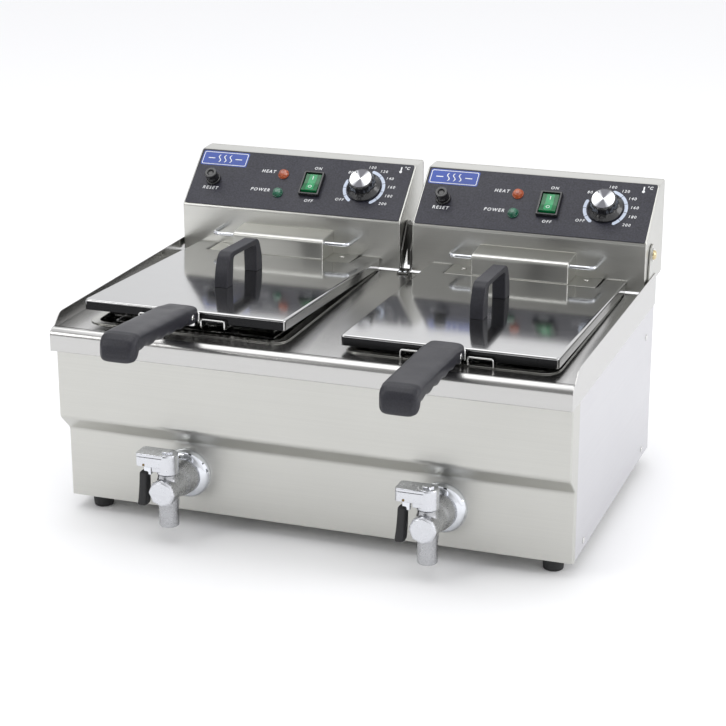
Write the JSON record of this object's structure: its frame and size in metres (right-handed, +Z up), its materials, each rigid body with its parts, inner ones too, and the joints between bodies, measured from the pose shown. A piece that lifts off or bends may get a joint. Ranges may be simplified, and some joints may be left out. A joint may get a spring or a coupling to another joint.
{
  "type": "countertop deep fryer",
  "caption": "Countertop twin-tank electric deep fryer in stainless steel with lidded baskets, drain taps and tilting control heads.",
  "frame": {"origin": "centre of the overall footprint at the underside of the feet", "axes": "+X to the right when facing the taps, -Y towards the user, +Z up"},
  "size_m": [0.5652, 0.55, 0.3225],
  "materials": {
    "brushed_steel": "fine horizontal grain",
    "polished_steel": "bright polished sheet",
    "steel_wire": "bright drawn wire",
    "chrome": "polished",
    "dark_plastic": "fine moulded texture",
    "black_plastic": "glossy",
    "printed_film": "satin printed film",
    "rubber": "matt",
    "lit_green": "translucent, lit from behind",
    "amber_lens": "translucent faceted lens",
    "green_lens": "translucent faceted lens"
  },
  "bodies": {
    "body": {"front_panel": "brushed_steel", "casing_wrap": "brushed_steel", "base_plate": "brushed_steel", "deck_top": "polished_steel", "foot_front_left": "rubber", "foot_front_right": "rubber", "foot_rear_left": "rubber", "foot_rear_right": "rubber", "pivot_bracket_left": "brushed_steel", "pivot_bracket_right": "brushed_steel", "centre_pivot_bracket": "brushed_steel", "pivot_bolt_left": "steel_wire", "pivot_bolt_right": "steel_wire", "tank_left": "brushed_steel", "tank_right": "brushed_steel", "tap_flange_left": "chrome", "tap_flange_right": "chrome", "tap_body_left": "chrome", "tap_body_right": "chrome"},
    "head_left": {"head_casing_left": "brushed_steel", "head_rear_cover_left": "brushed_steel", "cable_gland_left": "black_plastic", "control_panel_left": "printed_film", "switch_bezel_left": "black_plastic", "reset_collar_left": "black_plastic", "heat_lamp_left": "amber_lens", "power_lamp_left": "green_lens", "element_hood_left": "brushed_steel", "hanger_rod_left": "steel_wire", "heating_element_left": "steel_wire"},
    "basket_assembly_left": {"basket_left": "steel_wire", "basket_handle_left": "dark_plastic"},
    "lid_assembly_left": {"lid_left": "polished_steel", "lid_handle_left": "dark_plastic"},
    "thermostat_left": {"thermostat_knob_left": "black_plastic"},
    "rocker_left": {"switch_rocker_left": "lit_green"},
    "reset_left": {"reset_button_left": "black_plastic"},
    "lever_left": {"tap_lever_left": "chrome"},
    "grip_left": {"tap_grip_left": "dark_plastic"},
    "head_right": {"head_casing_right": "brushed_steel", "head_rear_cover_right": "brushed_steel", "cable_gland_right": "black_plastic", "control_panel_right": "printed_film", "switch_bezel_right": "black_plastic", "reset_collar_right": "black_plastic", "heat_lamp_right": "amber_lens", "power_lamp_right": "green_lens", "element_hood_right": "brushed_steel", "hanger_rod_right": "steel_wire", "heating_element_right": "steel_wire"},
    "basket_assembly_right": {"basket_right": "steel_wire", "basket_handle_right": "dark_plastic"},
    "lid_assembly_right": {"lid_right": "polished_steel", "lid_handle_right": "dark_plastic"},
    "thermostat_right": {"thermostat_knob_right": "black_plastic"},
    "rocker_right": {"switch_rocker_right": "lit_green"},
    "reset_right": {"reset_button_right": "black_plastic"},
    "lever_right": {"tap_lever_right": "chrome"},
    "grip_right": {"tap_grip_right": "dark_plastic"}
  },
  "joints": [
    {"name": "head_tilt_left", "type": "hinge", "parent": "body", "child": "head_left", "pos_m": [-0.1419, 0.20362, 0.2506], "axis": [-1, 0, 0], "range_deg": [0, 70]},
    {"name": "basket_lift_left", "type": "slide", "parent": "head_left", "child": "basket_assembly_left", "axis": [0, 0, 1], "range_m": [0, 0.2]},
    {"name": "lid_lift_left", "type": "slide", "parent": "basket_assembly_left", "child": "lid_assembly_left", "axis": [0, 0, 1], "range_m": [0, 0.2]},
    {"name": "thermostat_turn_left", "type": "hinge", "parent": "head_left", "child": "thermostat_left", "pos_m": [-0.0615, 0.20794, 0.29767], "axis": [0, 0.6611, -0.7503], "range_deg": [0, 270]},
    {"name": "switch_rock_left", "type": "hinge", "parent": "head_left", "child": "rocker_left", "pos_m": [-0.1247, 0.20812, 0.29383], "axis": [1, 0, 0], "range_deg": [0, 14]},
    {"name": "reset_press_left", "type": "slide", "parent": "head_left", "child": "reset_left", "axis": [0, 0.6611, -0.7503], "range_m": [0, 0.0025], "stiffness_N_per_m": 400},
    {"name": "tap_turn_left", "type": "hinge", "parent": "body", "child": "lever_left", "pos_m": [-0.1412, -0.17168, 0.09], "axis": [0, 0, 1], "range_deg": [0, 90]},
    {"name": "tap_grip_fold_left", "type": "hinge", "parent": "lever_left", "child": "grip_left", "pos_m": [-0.1632, -0.17168, 0.0874], "axis": [0, 1, 0], "range_deg": [0, 90]},
    {"name": "head_tilt_right", "type": "hinge", "parent": "body", "child": "head_right", "pos_m": [0.1419, 0.20362, 0.2506], "axis": [-1, 0, 0], "range_deg": [0, 70]},
    {"name": "basket_lift_right", "type": "slide", "parent": "head_right", "child": "basket_assembly_right", "axis": [0, 0, 1], "range_m": [0, 0.2]},
    {"name": "lid_lift_right", "type": "slide", "parent": "basket_assembly_right", "child": "lid_assembly_right", "axis": [0, 0, 1], "range_m": [0, 0.2]},
    {"name": "thermostat_turn_right", "type": "hinge", "parent": "head_right", "child": "thermostat_right", "pos_m": [0.2223, 0.20794, 0.29767], "axis": [0, 0.6611, -0.7503], "range_deg": [0, 270]},
    {"name": "switch_rock_right", "type": "hinge", "parent": "head_right", "child": "rocker_right", "pos_m": [0.1591, 0.20812, 0.29383], "axis": [1, 0, 0], "range_deg": [0, 14]},
    {"name": "reset_press_right", "type": "slide", "parent": "head_right", "child": "reset_right", "axis": [0, 0.6611, -0.7503], "range_m": [0, 0.0025], "stiffness_N_per_m": 400},
    {"name": "tap_turn_right", "type": "hinge", "parent": "body", "child": "lever_right", "pos_m": [0.1412, -0.17168, 0.09], "axis": [0, 0, 1], "range_deg": [0, 90]},
    {"name": "tap_grip_fold_right", "type": "hinge", "parent": "lever_right", "child": "grip_right", "pos_m": [0.1192, -0.17168, 0.0874], "axis": [0, 1, 0], "range_deg": [0, 90]}
  ]
}
